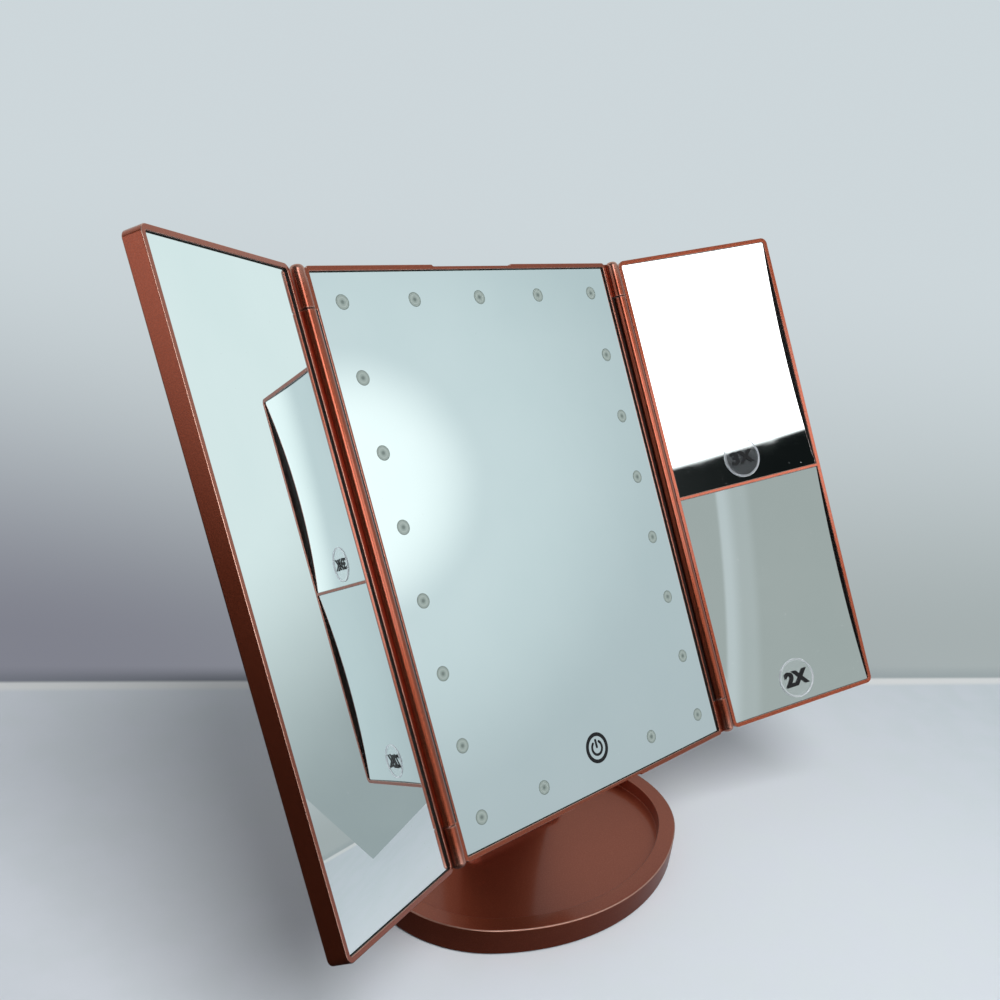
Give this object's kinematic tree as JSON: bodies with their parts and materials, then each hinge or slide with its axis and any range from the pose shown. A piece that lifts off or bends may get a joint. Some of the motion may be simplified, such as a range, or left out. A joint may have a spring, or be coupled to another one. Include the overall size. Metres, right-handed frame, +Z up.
{
  "type": "trifold vanity mirror",
  "caption": "Tabletop vanity mirror: lit centre glass, folding side mirrors with magnifiers, head that tilts on an oval tray base.",
  "frame": {"origin": "middle of the oval base's underside, on the table", "axes": "+Z up, +X to the viewer's right, +Y away from the viewer; wings open and head tilted back as pictured"},
  "size_m": [0.3291, 0.1553, 0.2683],
  "materials": {
    "copper_shell": "satin metallic rose-gold paint on moulded plastic",
    "dark_plastic": "moulded, matt",
    "foam_black": "closed-cell foam",
    "steel": "plated",
    "washer_plastic": "low-friction plastic",
    "mirror_glass": "polished",
    "window_glass": "etched, frosted",
    "print_black": "printed",
    "copper_foil": "bare foil",
    "board_green": "solder mask",
    "led_lens": "clear resin over phosphor",
    "chip_black": "moulded",
    "foam_white": "foam tape",
    "cell_wrap": "shrink film over steel can",
    "mark_clear": "clear film"
  },
  "bodies": {
    "base": {"base_shell": "copper_shell", "base_plate": "dark_plastic", "base_pad": "foam_black", "base_screws": "steel", "neck_arm": "copper_shell", "neck_cover": "copper_shell", "neck_screws": "steel", "tilt_shaft": "steel", "tilt_washers": "washer_plastic"},
    "head": {"centre_frame": "copper_shell", "centre_mirror": "mirror_glass", "led_windows": "window_glass", "touch_icon": "print_black", "touch_pad": "copper_foil", "led_board": "board_green", "leds": "led_lens", "glass_tape": "foam_white", "back_cover": "copper_shell", "control_board": "board_green", "board_parts": "chip_black", "usb_socket": "steel", "battery_cells": "cell_wrap", "battery_springs": "steel", "battery_plates": "steel", "cover_screws": "steel", "hinge_pins": "steel", "tilt_caps": "copper_shell"},
    "battery_door": {"battery_door": "copper_shell"},
    "left_wing": {"left_tray": "copper_shell", "left_mirror": "mirror_glass", "left_tape": "foam_white"},
    "right_wing": {"right_tray": "copper_shell", "mirror_3x": "mirror_glass", "mirror_2x": "mirror_glass", "right_pads": "foam_white", "mark_3x": "mark_clear", "mark_2x": "mark_clear"}
  },
  "joints": [
    {"name": "head_tilt", "type": "hinge", "parent": "base", "child": "head", "pos_m": [0, 0.006, 0.0965], "axis": [1, 0, 0], "range_deg": [-59, 31]},
    {"name": "left_wing_fold", "type": "hinge", "parent": "head", "child": "left_wing", "pos_m": [-0.085, 0.01615, 0.1534], "axis": [0, 0.515, 0.8572], "range_deg": [-27, 153]},
    {"name": "right_wing_fold", "type": "hinge", "parent": "head", "child": "right_wing", "pos_m": [0.085, 0.01615, 0.1534], "axis": [0, -0.515, -0.8572], "range_deg": [-24.5, 155.5]},
    {"name": "battery_door_swing", "type": "hinge", "parent": "head", "child": "battery_door", "pos_m": [0, 0.01743, 0.1062], "axis": [-1, 0, 0], "range_deg": [0, 50]}
  ]
}
